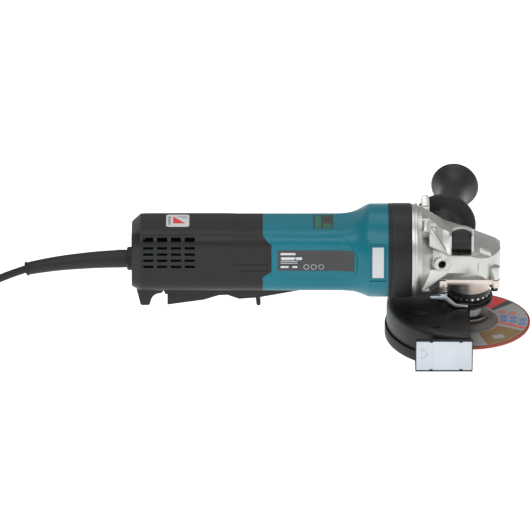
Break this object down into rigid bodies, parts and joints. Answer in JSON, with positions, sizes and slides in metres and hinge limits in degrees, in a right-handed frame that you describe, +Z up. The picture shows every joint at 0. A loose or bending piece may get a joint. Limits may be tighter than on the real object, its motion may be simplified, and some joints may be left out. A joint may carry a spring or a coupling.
{
  "type": "angle grinder",
  "caption": "Corded angle grinder with a paddle switch, gear head, turning wheel guard with clip cover, disc and side handle; the cord is coiled behind it.",
  "frame": {"origin": "centre of the mouth of the free thread for the side handle, on the right of the gear head", "axes": "+X forward along the motor axis towards the wheel, +Z up along the spindle, +Y towards the fitted side handle"},
  "size_m": [0.697, 0.2488, 0.1412],
  "materials": {
    "motor_housing": "satin moulded teal",
    "fan_ring": "matt black",
    "fan_baffle": "matt",
    "rear_shell_near": "fine-grained black",
    "rear_shell_far": "fine-grained black",
    "rear_shell_screws": "blackened",
    "gear_housing": "satin die cast",
    "gear_housing_screws": "blackened",
    "bearing_box": "satin die cast",
    "bearing_box_screws": "black oxide",
    "dust_seal": "felt",
    "stator_core": "laminated",
    "field_coils": "enamelled copper wire",
    "armature_shaft": "ground",
    "armature_core": "laminated",
    "armature_windings": "enamelled copper wire",
    "commutator": "turned copper",
    "cooling_fan": "moulded",
    "pinion": "ground",
    "pinion_nut": "plain",
    "armature_inner_rings": "ground",
    "bearing_outer_rings": "ground",
    "bearing_balls": "polished",
    "needle_bearing": "ground",
    "brush_holders": "matt",
    "carbon_brushes": "carbon",
    "brush_springs": "spring wire",
    "switch_body": "matt",
    "switch_plunger": "moulded",
    "speed_module": "potted electronics",
    "capacitor": "moulded",
    "cord_clamp": "moulded",
    "spindle": "ground",
    "bevel_gear": "cut steel",
    "spindle_inner_ring": "ground",
    "inner_flange": "turned",
    "abrasive_wheel": "bonded abrasive with a paper label",
    "lock_nut": "blackened",
    "wheel_guard": "black paint",
    "guard_rivets": "painted black",
    "clip_cover": "black paint",
    "latch_plate": "zinc plated",
    "guard_lever": "zinc plated",
    "lever_pivot": "black oxide",
    "lever_spring": "spring wire",
    "side_grip": "fine-grained black",
    "handle_stud": "zinc plated",
    "switch_paddle": "smooth black",
    "paddle_pin": "ground",
    "lock_off_lever": "smooth black",
    "lock_button": "smooth black",
    "lock_spring": "spring wire",
    "cord_guard": "moulded rubber",
    "power_cord": "rubber sheath",
    "cord_coil": "rubber sheath",
    "cord_tie": "woven strap",
    "plug_body": "moulded",
    "plug_pins": "nickel plated"
  },
  "bodies": {
    "housing": {"motor_housing": "motor_housing", "fan_ring": "fan_ring", "fan_baffle": "fan_baffle", "rear_shell_near": "rear_shell_near", "rear_shell_far": "rear_shell_far", "rear_shell_screws": "rear_shell_screws", "gear_housing": "gear_housing", "gear_housing_screws": "gear_housing_screws", "bearing_box": "bearing_box", "bearing_box_screws": "bearing_box_screws", "dust_seal": "dust_seal", "stator_core": "stator_core", "field_coils": "field_coils", "bearing_outer_rings": "bearing_outer_rings", "bearing_balls": "bearing_balls", "needle_bearing": "needle_bearing", "brush_holders": "brush_holders", "carbon_brushes": "carbon_brushes", "brush_springs": "brush_springs", "switch_body": "switch_body", "speed_module": "speed_module", "capacitor": "capacitor", "cord_clamp": "cord_clamp", "lever_pivot": "lever_pivot", "lever_spring": "lever_spring", "side_grip": "side_grip", "handle_stud": "handle_stud", "paddle_pin": "paddle_pin", "lock_spring": "lock_spring", "cord_guard": "cord_guard", "power_cord": "power_cord", "cord_coil": "cord_coil", "cord_tie": "cord_tie", "plug_body": "plug_body", "plug_pins": "plug_pins"},
    "armature": {"armature_shaft": "armature_shaft", "armature_core": "armature_core", "armature_windings": "armature_windings", "commutator": "commutator", "cooling_fan": "cooling_fan", "pinion": "pinion", "pinion_nut": "pinion_nut", "armature_inner_rings": "armature_inner_rings"},
    "spindle": {"spindle": "spindle", "bevel_gear": "bevel_gear", "spindle_inner_ring": "spindle_inner_ring", "inner_flange": "inner_flange", "abrasive_wheel": "abrasive_wheel", "lock_nut": "lock_nut"},
    "guard": {"wheel_guard": "wheel_guard", "guard_rivets": "guard_rivets", "clip_cover": "clip_cover", "latch_plate": "latch_plate"},
    "guard_lever": {"guard_lever": "guard_lever"},
    "paddle": {"switch_paddle": "switch_paddle"},
    "lock_off": {"lock_off_lever": "lock_off_lever"},
    "plunger": {"switch_plunger": "switch_plunger"},
    "shaft_lock": {"lock_button": "lock_button"}
  },
  "joints": [
    {"name": "armature_spin", "type": "hinge", "parent": "housing", "child": "armature", "pos_m": [-0.0914, 0.034, 0], "axis": [1, 0, 0], "continuous": true},
    {"name": "spindle_spin", "type": "hinge", "parent": "housing", "child": "spindle", "pos_m": [0.0286, 0.034, -0.04], "axis": [0, 0, 1], "continuous": true},
    {"name": "guard_turn", "type": "hinge", "parent": "housing", "child": "guard", "pos_m": [0.0286, 0.034, -0.047], "axis": [0, 0, 1], "range_deg": [-90, 90]},
    {"name": "guard_lever_swing", "type": "hinge", "parent": "housing", "child": "guard_lever", "pos_m": [0.0016, 0.01, -0.038], "axis": [0, 0, 1], "range_deg": [-10, 0], "stiffness_Nm_per_rad": 0.3, "springref_deg": 8.59},
    {"name": "paddle_squeeze", "type": "hinge", "parent": "housing", "child": "paddle", "pos_m": [-0.1234, 0.034, -0.0349], "axis": [0, 1, 0], "range_deg": [0, 3.5], "stiffness_Nm_per_rad": 6, "springref_deg": -4.58},
    {"name": "lock_off_swing", "type": "hinge", "parent": "paddle", "child": "lock_off", "pos_m": [-0.1869, 0.034, -0.043], "axis": [0, 1, 0], "range_deg": [0, 25], "stiffness_Nm_per_rad": 0.02, "springref_deg": -11.46},
    {"name": "plunger_slide", "type": "slide", "parent": "housing", "child": "plunger", "axis": [0, 0, 1], "range_m": [0, 0.0039]},
    {"name": "shaft_lock_press", "type": "slide", "parent": "housing", "child": "shaft_lock", "axis": [0, 0, -1], "range_m": [0, 0.003], "stiffness_N_per_m": 900, "springref_m": -0.002, "deforming": ["lock_spring"]}
  ],
  "couplings": [
    {"joint": "spindle_spin", "follows": "armature_spin", "ratio": -0.28947},
    {"joint": "plunger_slide", "follows": "paddle_squeeze", "m_per_rad": 0.063}
  ]
}
